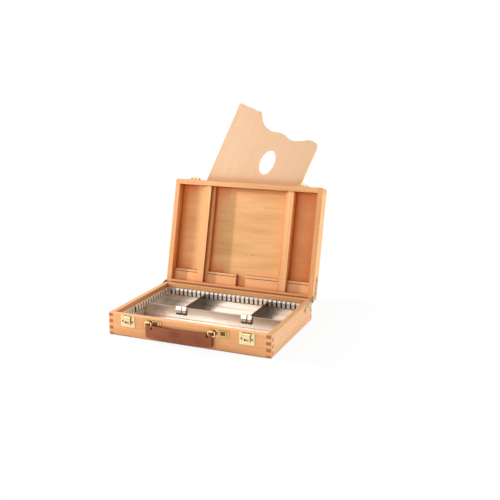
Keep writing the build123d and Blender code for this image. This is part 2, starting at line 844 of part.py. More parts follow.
for (side, sign), plate_x, ring_x in zip(SIDES, handle_plate_places, ring_places):
    window_place = (plate_x + handle_window_shift, handle_plate_z)
    with BuildPart() as handle_plate:
        with BuildSketch(Plane.XZ.offset(half_depth)):
            with Locations((plate_x, handle_plate_z)):
                RectangleRounded(handle_plate_width, handle_plate_height, handle_plate_round)
        extrude(amount=handle_plate_thickness)
        with BuildSketch(Plane.XZ.offset(half_depth)):
            with Locations(window_place):
                RectangleRounded(
                    handle_window_width + 2 * handle_window_rim,
                    handle_window_height + 2 * handle_window_rim,
                    handle_plate_round,
                )
        extrude(amount=handle_plate_thickness + handle_rim_height)
        with BuildSketch(Plane.XZ.offset(half_depth)):
            with Locations(window_place):
                RectangleRounded(handle_window_width, handle_window_height, handle_window_height / 4)
        extrude(amount=handle_plate_thickness + handle_rim_height, mode=Mode.SUBTRACT)
        with BuildSketch(Plane.YZ.offset(ring_x - handle_eye_length / 2)):
            with Locations((handle_axis_y, handle_axis_z)):
                Circle(handle_eye_radius)
                Rectangle(
                    front_face - handle_axis_y, 2 * handle_eye_radius, align=(Align.MIN, Align.CENTER)
                )
        extrude(amount=handle_eye_length)
        with Locations(Location((ring_x, handle_axis_y, handle_axis_z), (0, 90, 0))):
            Cylinder(ring_wire / 2 + ring_play, 2 * handle_eye_length, mode=Mode.SUBTRACT)
        with Locations(*handle_screw_places):
            add(screw_hole, mode=Mode.SUBTRACT)
    save(handle_plate, f"handle_plate_{side}")

    with BuildPart() as handle_ring:
        add(ring_shape(ring_x, ring_wire / 2))
    save(handle_ring, f"handle_ring_{side}")

strap_top = handle_axis_z - strap_top_drop
strap_low = strap_top - strap_height
strap_ends = [ring_places[0] - strap_overhang, ring_places[1] + strap_overhang]
strap_middle = sum(strap_ends) / 2
with BuildPart() as handle_strap:
    with BuildSketch(Plane.XZ.offset(-handle_axis_y - strap_thickness / 2)):
        with BuildLine():
            upper, lower = [
                ThreePointArc((strap_ends[0], z), (strap_middle, z - strap_sag), (strap_ends[1], z))
                for z in (strap_top, strap_low)
            ]
            Line(upper @ 0, lower @ 0)
            Line(upper @ 1, lower @ 1)
        make_face()
    extrude(amount=strap_thickness)
    fillet(handle_strap.edges(), strap_edge)
    for ring_x in ring_places:
        add(ring_shape(ring_x, ring_wire / 2 + strap_play), mode=Mode.SUBTRACT)
save(handle_strap, "handle_strap")

save_screws(handle_screw_places, "handle_screws")
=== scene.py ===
import math

import bmesh
import bpy
from mathutils import Euler, Matrix, Vector


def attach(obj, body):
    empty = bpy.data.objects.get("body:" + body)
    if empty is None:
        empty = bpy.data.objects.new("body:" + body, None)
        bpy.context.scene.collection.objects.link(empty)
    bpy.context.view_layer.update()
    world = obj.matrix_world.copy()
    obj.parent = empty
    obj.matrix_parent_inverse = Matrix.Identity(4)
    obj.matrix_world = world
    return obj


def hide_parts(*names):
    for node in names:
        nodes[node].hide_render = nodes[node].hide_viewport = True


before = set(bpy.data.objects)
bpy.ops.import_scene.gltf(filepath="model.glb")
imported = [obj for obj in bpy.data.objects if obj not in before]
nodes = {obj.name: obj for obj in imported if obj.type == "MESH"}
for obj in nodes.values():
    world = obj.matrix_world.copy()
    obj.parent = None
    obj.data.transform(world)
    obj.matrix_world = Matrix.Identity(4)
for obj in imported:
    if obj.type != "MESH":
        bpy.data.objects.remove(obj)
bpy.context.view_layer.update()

print("frame loaded:", len(nodes), "nodes")

# grain directions
lidLean = math.radians(104.5)
paletteTilt = math.radians(20)
rightward = Vector((1, 0, 0))
backward = Vector((0, 1, 0))
upLid = Vector((0, -math.cos(lidLean), math.sin(lidLean)))  # from the hinge edge to the latch edge
alongPalette = rightward * math.sin(paletteTilt) + upLid * math.cos(paletteTilt)


# shader helpers

def newMaterial(name):
    material = bpy.data.materials.new(name)
    material.use_nodes = True
    tree = material.node_tree
    tree.nodes.clear()
    output = tree.nodes.new("ShaderNodeOutputMaterial")
    shader = tree.nodes.new("ShaderNodeBsdfPrincipled")
    tree.links.new(shader.outputs["BSDF"], output.inputs["Surface"])
    return material, tree, shader


def addNode(tree, kind, **values):
    node = tree.nodes.new(kind)
    for key, value in values.items():
        if key in node.inputs:
            node.inputs[key].default_value = value
        else:
            setattr(node, key, value)
    return node


def coordinates(tree, output="Object"):
    return tree.nodes.new("ShaderNodeTexCoord").outputs[output]


def mapped(tree, source, **values):
    mapping = addNode(tree, "ShaderNodeMapping", **values)
    tree.links.new(source, mapping.inputs["Vector"])
    return mapping.outputs["Vector"]


def turned(tree, source, direction, offset=(0, 0, 0)):
    # turns a vector so that the given direction comes to lie along x
    turn = direction.rotation_difference(Vector((1, 0, 0))).to_euler()
    return mapped(tree, source, Rotation=turn, Location=offset)


def noise(tree, source, scale, detail=4.0, distortion=0.0):
    texture = addNode(
        tree, "ShaderNodeTexNoise", Scale=scale, Detail=detail, Roughness=0.55, Distortion=distortion,
    )
    tree.links.new(source, texture.inputs["Vector"])
    return texture.outputs["Fac"]


def remap(tree, source, low, high, toLow=0.0, toHigh=1.0):
    ends = {"From Min": low, "From Max": high, "To Min": toLow, "To Max": toHigh}
    node = addNode(tree, "ShaderNodeMapRange", **ends)
    tree.links.new(source, node.inputs["Value"])
    return node.outputs["Result"]


def mathNode(tree, operation, first, second=None):
    node = addNode(tree, "ShaderNodeMath", operation=operation)
    for socket, value in zip(node.inputs, (first, second)):
        if value is None:
            continue
        if isinstance(value, (int, float)):
            socket.default_value = value
        else:
            tree.links.new(value, socket)
    return node.outputs[0]


def chain(tree, operation, values):
    total = values[0]
    for value in values[1:]:
        total = mathNode(tree, operation, total, value)
    return total


def product(tree, *values):
    return chain(tree, "MULTIPLY", values)


def largest(tree, *values):
    return chain(tree, "MAXIMUM", values)


def within(tree, source, low, high, soft):
    # one between the two values, and nothing outside them
    return product(
        tree,
        remap(tree, source, low - soft, low + soft),
        remap(tree, source, high - soft, high + soft, 1.0, 0.0),
    )


def mixColour(tree, factor, first, second, blend="MIX"):
    node = addNode(tree, "ShaderNodeMix", data_type="RGBA", blend_type=blend)
    for name, kind, value in (("Factor", "VALUE", factor), ("A", "RGBA", first), ("B", "RGBA", second)):
        socket = [s for s in node.inputs if s.name == name and s.type == kind][0]
        if isinstance(value, tuple):
            socket.default_value = (*value, 1.0)
        else:
            tree.links.new(value, socket)
    return [s for s in node.outputs if s.type == "RGBA"][0]


def addBump(tree, shader, height, strength, distance):
    bump = addNode(tree, "ShaderNodeBump", Strength=strength, Distance=distance)
    tree.links.new(height, bump.inputs["Height"])
    tree.links.new(bump.outputs["Normal"], shader.inputs["Normal"])


def axes(tree, source):
    split = tree.nodes.new("ShaderNodeSeparateXYZ")
    tree.links.new(source, split.inputs["Vector"])
    return split.outputs["X"], split.outputs["Y"], split.outputs["Z"]


def crevice(tree, reach, most, open=0.92, closed=0.42):
    # rises towards most in inner corners and slots narrower than the reach: painted shade in the wood and the
    # tin, and darkening in the brass's hollows
    pocket = addNode(tree, "ShaderNodeAmbientOcclusion", Distance=reach, samples=6)
    return remap(tree, pocket.outputs["AO"], open, closed, 0.0, most)


def dress(node, material):
    mesh = nodes[node].data
    mesh.materials.clear()
    mesh.materials.append(material)


# wood

beech = {
    "pale": (0.80, 0.43, 0.19),
    "deep": (0.64, 0.285, 0.10),
    "fleck": (0.42, 0.165, 0.05),
    "endGrain": (0.45, 0.15, 0.056),
    # corner and shade are painted shade, in inner corners and grooves and across wider hollows
    "corner": (0.22, 0.06, 0.015),
    "cornerReach": 0.0035,
    "cornerMost": 0.85,
    "shade": (0.50, 0.19, 0.06),
    "shadeReach": 0.022,
    "shadeMost": 0.5,
    "streaks": (2.2, 60.0, 60.0),
    "wave": 0.35,
    "roughness": 0.42,
    "specular": 0.4,
    "bands": 0.9,
    "flecks": 0.55,
}
# on the lid's inner panel, lit is painted light and shade is painted shade
plywoodFace = dict(
    beech, pale=(0.92, 0.535, 0.23), deep=(0.68, 0.33, 0.105), bands=1.1, flecks=0.25,
    endGrain=(0.5, 0.25, 0.11), streaks=(2.0, 20.0, 20.0), wave=1.1, lit=(1.0, 0.64, 0.30),
    shade=(0.70, 0.205, 0.033), shadeReach=0.05, shadeMost=1.0,
)
lidBeech = dict(
    beech, pale=(0.82, 0.435, 0.19), deep=(0.66, 0.29, 0.10), shade=(0.70, 0.21, 0.045), shadeReach=0.03,
)
# painted light: a brighter copy of the lid's beech for the rails, whose corner colour is painted shade in
# their grooves
litGroovedRail = dict(
    lidBeech, pale=(0.94, 0.51, 0.22), deep=(0.77, 0.36, 0.13), corner=(0.36, 0.12, 0.032), cornerReach=0.008,
)
# painted light: a brighter copy of the lid's beech for the ledges, whose corner colour is painted shade in
# their groove line
litLedgeBeech = dict(lidBeech, pale=(0.98, 0.57, 0.27), deep=(0.84, 0.43, 0.18), corner=(0.46, 0.17, 0.055))
# painted shade: a darker, less saturated copy of the beech for the right wall, which the right lamp lights
# strongly
shadedRightBeech = dict(beech, pale=(0.69, 0.42, 0.215), deep=(0.55, 0.28, 0.115))
# painted light: a brighter copy of the beech for the front wall
litFrontBeech = dict(beech, pale=(0.99, 0.53, 0.235), deep=(0.80, 0.345, 0.125))
paletteFace = dict(
    beech, pale=(0.805, 0.55, 0.355), deep=(0.745, 0.455, 0.265), fleck=(0.61, 0.345, 0.185),
    bands=0.7, flecks=0.35, endGrain=(0.50, 0.27, 0.13), roughness=0.68, specular=0.12,
)
grain = {
    "pieceOffset": (0.37, 0.113, 0.071),  # each piece has its own place in the pattern
    "broad": (0.9, 9.0, 9.0),
    "hair": (9.0, 420.0, 420.0),
    "dashes": (150.0, 1300.0, 1300.0),
    "pores": (900.0, 900.0, 300.0),
    "broadTone": (0.3, 0.7, 0.0, 0.55),
    "streakTone": (0.35, 0.68, 0.0, 0.45),
    "hairTone": (0.45, 0.75, 0.0, 0.25),
    "dashRange": (0.62, 0.72),
    "poreTone": (0.35, 0.7, 0.0, 0.5),
    "endFacing": (0.75, 0.92),
    "shadeRange": (0.97, 0.6),
    "streakRange": (0.3, 0.7),
    "roughnessSpread": (-0.05, 0.08),
    "dashHeight": 0.7,
    "bump": (0.35, 0.0002),
}


def woodMaterial(name, direction, look, seed, paintedShadeAndFleck=None, shadedWhere=None, litWhere=None):
    # the last three arguments are given the tree and the object's x, y and z: they place painted shade and
    # flecks, scale the painted shade in hollows, and place painted light
    material, tree, shader = newMaterial(name)
    place = coordinates(tree)
    x, y, z = axes(tree, place)
    along = turned(tree, place, direction, offset=tuple(step * seed for step in grain["pieceOffset"]))
    broad = noise(tree, mapped(tree, along, Scale=grain["broad"]), 3.0, detail=3.0, distortion=0.6)
    streaks = noise(
        tree, mapped(tree, along, Scale=look["streaks"]), 3.0, detail=5.0, distortion=look["wave"],
    )
    hair = noise(tree, mapped(tree, along, Scale=grain["hair"]), 3.0, detail=2.0)
    dashes = noise(tree, mapped(tree, along, Scale=grain["dashes"]), 1.0, detail=1.0)
    pores = noise(tree, mapped(tree, along, Scale=grain["pores"]), 1.0, detail=2.0)

    bands = chain(
        tree, "ADD", (remap(tree, broad, *grain["broadTone"]), remap(tree, streaks, *grain["streakTone"])),
    )
    colour = mixColour(tree, product(tree, bands, look["bands"]), look["pale"], look["deep"])
    colour = mixColour(tree, remap(tree, hair, *grain["hairTone"]), colour, look["deep"])
    colour = mixColour(
        tree, remap(tree, dashes, *grain["dashRange"], 0.0, look["flecks"]), colour, look["fleck"],
    )

    facing = axes(tree, turned(tree, coordinates(tree, "Normal"), direction))[0]
    isEnd = remap(tree, mathNode(tree, "ABSOLUTE", facing), *grain["endFacing"])
    endColour = mixColour(tree, remap(tree, pores, *grain["poreTone"]), look["endGrain"], look["fleck"])
    colour = mixColour(tree, isEnd, colour, endColour)

    # painted shade in hollows, painted light, then painted shade in inner corners and each piece's painted
    # shade and flecks
    shaded = crevice(tree, look["shadeReach"], look["shadeMost"], *grain["shadeRange"])
    if shadedWhere:
        shaded = product(tree, shaded, shadedWhere(tree, x, y, z))
    colour = mixColour(tree, shaded, colour, look["shade"])
    if litWhere:
        colour = mixColour(tree, litWhere(tree, x, y, z), colour, look["lit"])
    colour = mixColour(tree, crevice(tree, look["cornerReach"], look["cornerMost"]), colour, look["corner"])
    if paintedShadeAndFleck:
        colour = mixColour(tree, paintedShadeAndFleck(tree, x, y, z), colour, look["corner"])
    tree.links.new(colour, shader.inputs["Base Color"])

    ends = [look["roughness"] + spread for spread in grain["roughnessSpread"]]
    tree.links.new(remap(tree, streaks, *grain["streakRange"], *ends), shader.inputs["Roughness"])
    shader.inputs["Specular IOR Level"].default_value = look["specular"]
    height = mathNode(tree, "ADD", hair, product(tree, dashes, grain["dashHeight"]))
    addBump(tree, shader, height, *grain["bump"])
    return material


# where shade is painted on the wood, as the ends of ranges in metres and the shares at those ends
plateWindows = {"x": (-0.0722, 0.0842), "halfWidth": 0.0055, "low": 0.0357, "high": 0.0432, "soft": 0.0003}
paintedWoodShade = {
    "frontY": (-0.1298, -0.1296, 1.0, 0.0),
    "bottomZ": (0.0012, 0.0032, 0.8, 0.0),
    "restingY": (0.1255, 0.1285),
    "restingZ": (0.049, 0.0495, 0.0, 0.7),
    "hingeEdgeY": (0.136, 0.138, 1.0, 0.0),
    "hingeEdgeZ": (0.0512, 0.0528, 0.85, 0.0),
    "leftFaceX": (-0.1783, -0.1779, 0.0, 0.85),
}


def frontPaintedShade(tree, x, y, z):
    # painted shade on the wood in the windows of the handle's plates, and along the bottom edge
    half, soft = plateWindows["halfWidth"], plateWindows["soft"]
    across = largest(tree, *[within(tree, x, at - half, at + half, soft) for at in plateWindows["x"]])
    level = within(tree, z, plateWindows["low"], plateWindows["high"], soft)
    windows = product(tree, across, level, remap(tree, y, *paintedWoodShade["frontY"]))
    return largest(tree, windows, remap(tree, z, *paintedWoodShade["bottomZ"]))


def backPaintedShade(tree, x, y, z):
    # painted shade: a dark line along the top, where the open lid rests
    return product(tree, remap(tree, y, *paintedWoodShade["restingY"]), remap(tree, z, *paintedWoodShade["restingZ"]))


def hingeEdgePaintedShade(tree, x, y, z):
    # painted shade on the lid's hinge edge, down behind the case
    return product(tree, remap(tree, y, *paintedWoodShade["hingeEdgeY"]), remap(tree, z, *paintedWoodShade["hingeEdgeZ"]))


def leftInsidePaintedShade(tree, x, y, z):
    # painted shade on the left wall's inner face, above the tray
    return remap(tree, x, *paintedWoodShade["leftFaceX"])


# grain direction, look and painted shade of each piece
woodPieces = {
    "base_front_wall": (rightward, litFrontBeech, frontPaintedShade),
    "base_back_wall": (rightward, beech, backPaintedShade),
    "base_left_wall": (backward, beech, leftInsidePaintedShade),
    "base_right_wall": (backward, shadedRightBeech, None),
    "lid_front_wall": (rightward, lidBeech, None),
    "lid_back_wall": (rightward, lidBeech, hingeEdgePaintedShade),
    "lid_left_wall": (upLid, lidBeech, None),
    "lid_right_wall": (upLid, lidBeech, None),
    "lid_rail_left": (upLid, litGroovedRail, None),
    "lid_rail_right": (upLid, litGroovedRail, None),
    "lid_ledge_left": (rightward, litLedgeBeech, None),
    "lid_ledge_centre_left": (rightward, litLedgeBeech, None),
    "lid_ledge_centre_right": (rightward, litLedgeBeech, None),
    "lid_ledge_right": (rightward, litLedgeBeech, None),
    "palette_floor_strip": (rightward, beech, None),
}
for seed, (node, (direction, look, paintedShadeAndFleck)) in enumerate(woodPieces.items(), start=1):
    dress(node, woodMaterial(f"oiledBeech_{node}", direction, look, seed, paintedShadeAndFleck))

innerPanel = {
    # shares of painted shade on the panel, the place of its fleck, and the strip of painted light
    "shadeEverywhere": 0.25,
    "bays": ((-0.178, -0.140, 0.014, 1.0), (-0.090, -0.048, 0.004, 0.9), (0.116, 0.182, 0.002, 1.7)),
    "fleckX": (0.0225, 0.0275, 0.001),
    "fleckZ": (0.1258, 0.1272, 0.0004),
    "fleckShare": 0.7,
    "glowX": (-0.1305, -0.1, 0.009),
    "glowShare": 0.9,
}


def panelBays(tree, x, y, z):
    # painted shade: the panel is darkest in the right bay and along the left sides of the other two, where
    # the rails and walls cast their shadows
    shares = [
        product(tree, within(tree, x, low, high, soft), share)
        for low, high, soft, share in innerPanel["bays"]
    ]
    return chain(tree, "ADD", shares + [innerPanel["shadeEverywhere"]])


def panelFleck(tree, x, y, z):
    # one dark mineral fleck in the veneer
    return product(
        tree,
        within(tree, x, *innerPanel["fleckX"]),
        within(tree, z, *innerPanel["fleckZ"]),
        innerPanel["fleckShare"],
    )


def panelPaintedLight(tree, x, y, z):
    # painted light: a pale strip of panel beside the left rail, where light bounces off the rail
    return product(tree, within(tree, x, *innerPanel["glowX"]), innerPanel["glowShare"])


for seed, node in ((21, "base_bottom_panel"), (22, "lid_outer_panel")):
    dress(node, woodMaterial(f"plywood_{node}", rightward, plywoodFace, seed))
innerFace = woodMaterial(
    "plywood_lid_inner_panel", rightward, plywoodFace, 23, panelFleck, panelBays, panelPaintedLight,
)
dress("lid_inner_panel", innerFace)
dress("palette", woodMaterial("paletteBoard", alongPalette, paletteFace, 31))
print("wood done")


# metal

wear = {
    "cloud": 14.0,
    "scratch": (30.0, 900.0, 900.0),
    "cloudTone": (0.35, 0.75, 0.0, 0.6),
    "scratchRange": (0.3, 0.75),
    "scratchRoughness": 0.14,
    "scratchHeight": 0.15,
    "bumpDistance": 0.0006,
}


def metalMaterial(name, look):
    # shadedWhere is given the tree and the object's x, y and z, and says where the metal is in deep shade
    material, tree, shader = newMaterial(name)
    place = coordinates(tree)
    x, y, z = axes(tree, place)
    cloud = noise(tree, place, wear["cloud"], detail=4.0)
    scratch = noise(tree, mapped(tree, place, Scale=wear["scratch"]), 1.0, detail=3.0)
    colour = mixColour(tree, remap(tree, cloud, *wear["cloudTone"]), look["bright"], look["dull"])
    # inner corners: painted shade in the tin, and darkening in the brass's hollows
    colour = mixColour(tree, crevice(tree, look["cornerReach"], look["corners"]), colour, look["corner"])
    # painted shade with a warm painted reflection of the wood towards the left, most on the left wall, and
    # painted shade towards the right
    if "leftShadeColour" in look:
        leftShareOfShade = largest(tree, remap(tree, x, *look["leftShadeX"]), remap(tree, x, *look["leftWallShadeX"]))
        colour = mixColour(tree, leftShareOfShade, colour, look["leftShadeColour"])
        colour = mixColour(tree, remap(tree, x, *look["rightShadeX"]), colour, look["rightShadeColour"])
    # painted highlight along a hemmed top edge
    if "hemHighlightZ" in look:
        colour = mixColour(tree, remap(tree, z, *look["hemHighlightZ"]), colour, look["hemHighlightColour"])
    if "shadedWhere" in look:
        colour = mixColour(tree, look["shadedWhere"](tree, x, y, z), colour, look["shade"])
    roughest = look["roughness"] + wear["scratchRoughness"]
    rough = remap(tree, scratch, *wear["scratchRange"], look["roughness"], roughest)
    if "wallZ" in look:
        onWall = remap(tree, z, *look["wallZ"])
        rough = largest(tree, rough, product(tree, onWall, look["wallRoughness"]))
        wallShare = product(tree, onWall, look["wallShare"])
        colour = mixColour(tree, wallShare, colour, look["wallTint"], "SOFT_LIGHT")
    tree.links.new(colour, shader.inputs["Base Color"])
    tree.links.new(rough, shader.inputs["Roughness"])
    shader.inputs["Metallic"].default_value = look["metallic"]
    height = mathNode(tree, "ADD", cloud, product(tree, scratch, wear["scratchHeight"]))
    addBump(tree, shader, height, look["bump"], wear["bumpDistance"])
    return material


# tinned sheet

loops = {
    "wallX": (0.1762, 0.1766),
    "wallY": (0.1162, 0.1166),
    "z": (0.0225, 0.0395, 0.0015),
    "fadeZ": (0.031, 0.0375, 1.0, 0.35),
    "underZ": (0.0225, 0.0257, 0.0003),
    "underShare": 0.8,
    "sideShare": 0.7,
    "pitch": 0.0115,
    "startX": -1.225,  # a hundred pitches to the left of the grid
    "startY": -1.144,  # and a hundred before it
    "gapBefore": (0.2, 0.26, 1.0, 0.0),
    "gapAfter": (0.74, 0.80),
}
frontFloor = {"y": (-0.03, -0.01, 0.16, 0.0), "z": (0.012, 0.016, 1.0, 0.0)}
crossDivider = {
    "behindY": (0.0065, 0.0073),
    "footZ": (0.0215, 0.0225, 1.0, 0.0),
    "edgeZ": (0.0346, 0.0350, 1.0, 0.0),
}


def besideLoops(tree, source, start):
    # one in the gaps between the loops along a wall
    along = mathNode(tree, "SUBTRACT", source, start)
    share = mathNode(tree, "FRACT", mathNode(tree, "DIVIDE", along, loops["pitch"]))
    return largest(tree, remap(tree, share, *loops["gapAfter"]), remap(tree, share, *loops["gapBefore"]))


def trayShade(tree, x, y, z):
    # painted shade on the walls between and under the loops, and on a little of the front compartment's floor
    level = product(tree, within(tree, z, *loops["z"]), remap(tree, z, *loops["fadeZ"]))
    backWall = remap(tree, y, *loops["wallY"])
    sideWall = remap(tree, mathNode(tree, "ABSOLUTE", x), *loops["wallX"])
    backGaps = product(tree, backWall, besideLoops(tree, x, loops["startX"]))
    sideGaps = product(tree, sideWall, besideLoops(tree, y, loops["startY"]), loops["sideShare"])
    onLoops = mathNode(tree, "SUBTRACT", 1.0, largest(tree, backWall, sideWall))
    underLoops = product(tree, within(tree, z, *loops["underZ"]), onLoops, loops["underShare"])
    floor = product(tree, remap(tree, z, *frontFloor["z"]), remap(tree, y, *frontFloor["y"]))
    return largest(tree, product(tree, level, largest(tree, backGaps, sideGaps)), underLoops, floor)


def crossShade(tree, x, y, z):
    # painted shade: the cross dividers are dark behind the clips, except along their top edges
    shadedPart = largest(tree, remap(tree, y, *crossDivider["behindY"]), remap(tree, z, *crossDivider["footZ"]))
    return product(tree, shadedPart, remap(tree, z, *crossDivider["edgeZ"]))


tin = {
    # corner is painted shade in inner corners, and the tray's painted shade too
    "bright": (0.84, 0.775, 0.70), "dull": (0.70, 0.625, 0.555), "corner": (0.05, 0.04, 0.03),
    # painted shade towards the left, warmed like a reflection of the wood, and painted shade towards the
    # right
    "leftShadeColour": (0.42, 0.30, 0.20), "leftShadeX": (-0.172, -0.05, 0.12, 0.0),
    "leftWallShadeX": (-0.1768, -0.176, 0.45, 0.0),
    "rightShadeColour": (0.55, 0.45, 0.38), "rightShadeX": (-0.02, 0.16, 0.0, 0.6),
    "roughness": 0.14, "metallic": 0.85, "corners": 0.3, "cornerReach": 0.005, "bump": 0.2,
}
tray = dict(
    tin, shade=tin["corner"], shadedWhere=trayShade, bump=0.25,
    wallZ=(0.0215, 0.0225), wallRoughness=0.36, wallShare=0.6, wallTint=(1.0, 0.96, 0.91),
)
# the bright line along the divider's folded top edge is a painted highlight
longDivider = dict(tin, hemHighlightZ=(0.0326, 0.0330), hemHighlightColour=(1.0, 0.98, 0.94))
crossDividers = dict(tin, shade=(0.11, 0.08, 0.06), shadedWhere=crossShade)

dress("metal_tray", metalMaterial("tinnedTray", tray))
dress("long_divider", metalMaterial("tinnedDivider", longDivider))
crossSheet = metalMaterial("tinnedCrossDivider", crossDividers)
for side in ("left", "right"):
    dress(f"cross_divider_{side}", crossSheet)
print("tray done")


# brass

# where the painted shade round the plates' window frames lies
frameShade = {
    "outer": 0.0040, "inner": 0.0030, "lipMargin": 0.001, "lipZ": (-0.0002, 0.0012),
    "soft": 0.0002, "share": 0.8,
}


def plateFrames(tree, x, y, z):
    # painted shade round the raised frame of each plate's window, heaviest under its top edge
    def rectangle(at, margin, low, high):
        reach = plateWindows["halfWidth"] + margin
        across = within(tree, x, at - reach, at + reach, frameShade["soft"])
        return product(tree, across, within(tree, z, low, high, frameShade["soft"]))

    low, high = plateWindows["low"], plateWindows["high"]
    parts = []
    for at in plateWindows["x"]:
        outer, inner = [
            rectangle(at, edge, low - edge, high + edge)
            for edge in (frameShade["outer"], frameShade["inner"])
        ]
        parts.append(mathNode(tree, "SUBTRACT", outer, inner))
        parts.append(rectangle(at, frameShade["lipMargin"], *[high + step for step in frameShade["lipZ"]]))
    return product(tree, largest(tree, *parts), frameShade["share"])


brass = {
    "bright": (0.98, 0.80, 0.47), "dull": (0.84, 0.63, 0.32), "corner": (0.12, 0.06, 0.015),
    "roughness": 0.22, "metallic": 1.0, "corners": 0.9, "cornerReach": 0.0045, "bump": 0.2,
}
screws = dict(brass, bright=(0.36, 0.25, 0.12), dull=(0.22, 0.14, 0.06), roughness=0.3, cornerReach=0.003)
catches = dict(brass, bright=(0.56, 0.38, 0.16), dull=(0.36, 0.23, 0.085), roughness=0.3)
hinges = dict(brass, bright=(0.66, 0.49, 0.29), dull=(0.46, 0.31, 0.155), roughness=0.28)
plates = dict(
    brass, bright=(0.84, 0.54, 0.23), dull=(0.62, 0.355, 0.13),
    shade=brass["corner"], shadedWhere=plateFrames,
)
brassSheet = metalMaterial("brassSheet", brass)
brassByStart = {
    "catch_": metalMaterial("brassCatch", catches),
    "hinge_": metalMaterial("brassHinge", hinges),
    "handle_plate": metalMaterial("brassPlate", plates),
    "latch_": brassSheet,
    "handle_ring": brassSheet,
}
brassScrew = metalMaterial("brassScrew", screws)
for node in nodes:
    for start, sheet in brassByStart.items():
        if node.startswith(start):
            dress(node, sheet)
    if node.endswith("_screws"):
        dress(node, brassScrew)
print("brass done")


# leather handle

strap = {
    "left": -0.0938, "right": 0.0612, "top": 0.0373, "height": 0.0285, "sag": 0.0035, "middleY": -0.1346,
    "thickness": 0.005, "ends": (0.0112, 0.0082), "notchWidth": 0.0046, "notchDepth": 0.0078,
    "columns": 120, "rows": 24, "bevel": 0.0009, "bevelSteps": 3, "sharpEdge": 1.2,
    "padding": 0.0006, "creases": (0.3, 0.52, 0.76), "creaseDepth": 0.0006, "creaseReach": 0.045,
    "lines": ((0.16, 0.35), (0.3, 0.6), (0.42, 0.4), (0.52, 0.6), (0.65, 0.35), (0.76, 0.55)),
    "lineHalf": 0.004, "lineSoft": 0.012,
}
strapLength = strap["right"] - strap["left"]
strapMiddle = (strap["left"] + strap["right"]) / 2
hide = {
    "pale": (0.315, 0.08, 0.025),
    "deep": (0.232, 0.055, 0.016),
    "rubbed": (0.38, 0.13, 0.065),
    # painted shade along the strap's creases
    "line": (0.10, 0.025, 0.010),
    # painted light towards the strap's left end
    "leftEndLight": (0.44, 0.15, 0.065),
    "cloud": 60.0,
    "cloudRange": (0.35, 0.7),
    "rubbing": (12.0, 60.0, 60.0),
    "rubbedTone": (0.55, 0.75, 0.0, 0.35),
    "leftReach": 0.07,
    "leftShare": 0.45,
    "roughness": (0.3, 0.7, 0.42, 0.55),
    "specular": 0.35,
    "cells": 1400.0,
    "bump": (0.4, 0.0003),
}
stitching = {
    "pitch": 0.0034, "length": 0.0024, "radius": 0.00032, "inset": 0.0026, "fromNotch": 0.003,
    "segments": 6, "rings": 4, "pale": (0.20, 0.075, 0.04), "deep": (0.36, 0.17, 0.10),
    "twist": 2500.0, "roughness": 0.7, "bump": (0.5, 0.0002),
}


def creaseLines(tree, x, z):
    # painted shade: dark lines along the strap, at and between its creases, that follow its sag
    offset = mathNode(tree, "DIVIDE", mathNode(tree, "SUBTRACT", x, strapMiddle), strapLength / 2)
    bow = mathNode(tree, "SUBTRACT", 1.0, product(tree, offset, offset))
    level = mathNode(tree, "ADD", z, product(tree, bow, strap["sag"]))
    share = remap(tree, level, strap["top"] - strap["height"], strap["top"], 1.0, 0.0)
    half, soft = strap["lineHalf"], strap["lineSoft"]
    lines = [
        product(tree, within(tree, share, at - half, at + half, soft), depth)
        for at, depth in strap["lines"]
    ]
    return largest(tree, *lines)


def leatherMaterial():
    material, tree, shader = newMaterial("handleLeather")
    place = coordinates(tree)
    x, y, z = axes(tree, place)
    cloud = noise(tree, place, hide["cloud"], detail=4.0)
    rubbed = noise(tree, mapped(tree, place, Scale=hide["rubbing"]), 3.0, detail=3.0)
    cells = addNode(tree, "ShaderNodeTexVoronoi", Scale=hide["cells"])
    tree.links.new(place, cells.inputs["Vector"])
    # painted light: paler towards the left end, the side the light comes from
    nearLeft = remap(tree, x, strap["left"], strap["left"] + hide["leftReach"], hide["leftShare"], 0.0)
    colour = mixColour(tree, remap(tree, cloud, *hide["cloudRange"]), hide["pale"], hide["deep"])
    colour = mixColour(tree, remap(tree, rubbed, *hide["rubbedTone"]), colour, hide["rubbed"])
    colour = mixColour(tree, creaseLines(tree, x, z), colour, hide["line"])
    colour = mixColour(tree, nearLeft, colour, hide["leftEndLight"])
    tree.links.new(colour, shader.inputs["Base Color"])
    tree.links.new(remap(tree, cloud, *hide["roughness"]), shader.inputs["Roughness"])
    shader.inputs["Specular IOR Level"].default_value = hide["specular"]
    addBump(tree, shader, cells.outputs["Distance"], *hide["bump"])
    return material


def threadMaterial():
    material, tree, shader = newMaterial("waxedThread")
    twist = noise(tree, coordinates(tree), stitching["twist"], detail=2.0)
    tree.links.new(mixColour(tree, twist, stitching["pale"], stitching["deep"]), shader.inputs["Base Color"])
    shader.inputs["Roughness"].default_value = stitching["roughness"]
    addBump(tree, shader, twist, *stitching["bump"])
    return material


def addPiece(name, bm, material, body):
    bmesh.ops.recalc_face_normals(bm, faces=bm.faces)
    mesh = bpy.data.meshes.new(name)
    bm.to_mesh(mesh)
    bm.free()
    for polygon in mesh.polygons:
        polygon.use_smooth = True
    mesh.materials.append(material)
    piece = bpy.data.objects.new(name, mesh)
    bpy.context.scene.collection.objects.link(piece)
    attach(piece, body)
    return piece


def strapSag(x):
    # how far the strap has dropped at a place along it
    offset = (x - strapMiddle) / (strapLength / 2)
    return strap["sag"] * (1 - min(1.0, offset * offset))


def inNotch(x, fromTop):
    for fromEnd, start in zip((x - strap["left"], strap["right"] - x), strap["ends"]):
        if start < fromEnd < start + strap["notchWidth"] and fromTop < strap["notchDepth"]:
            return True
    return False


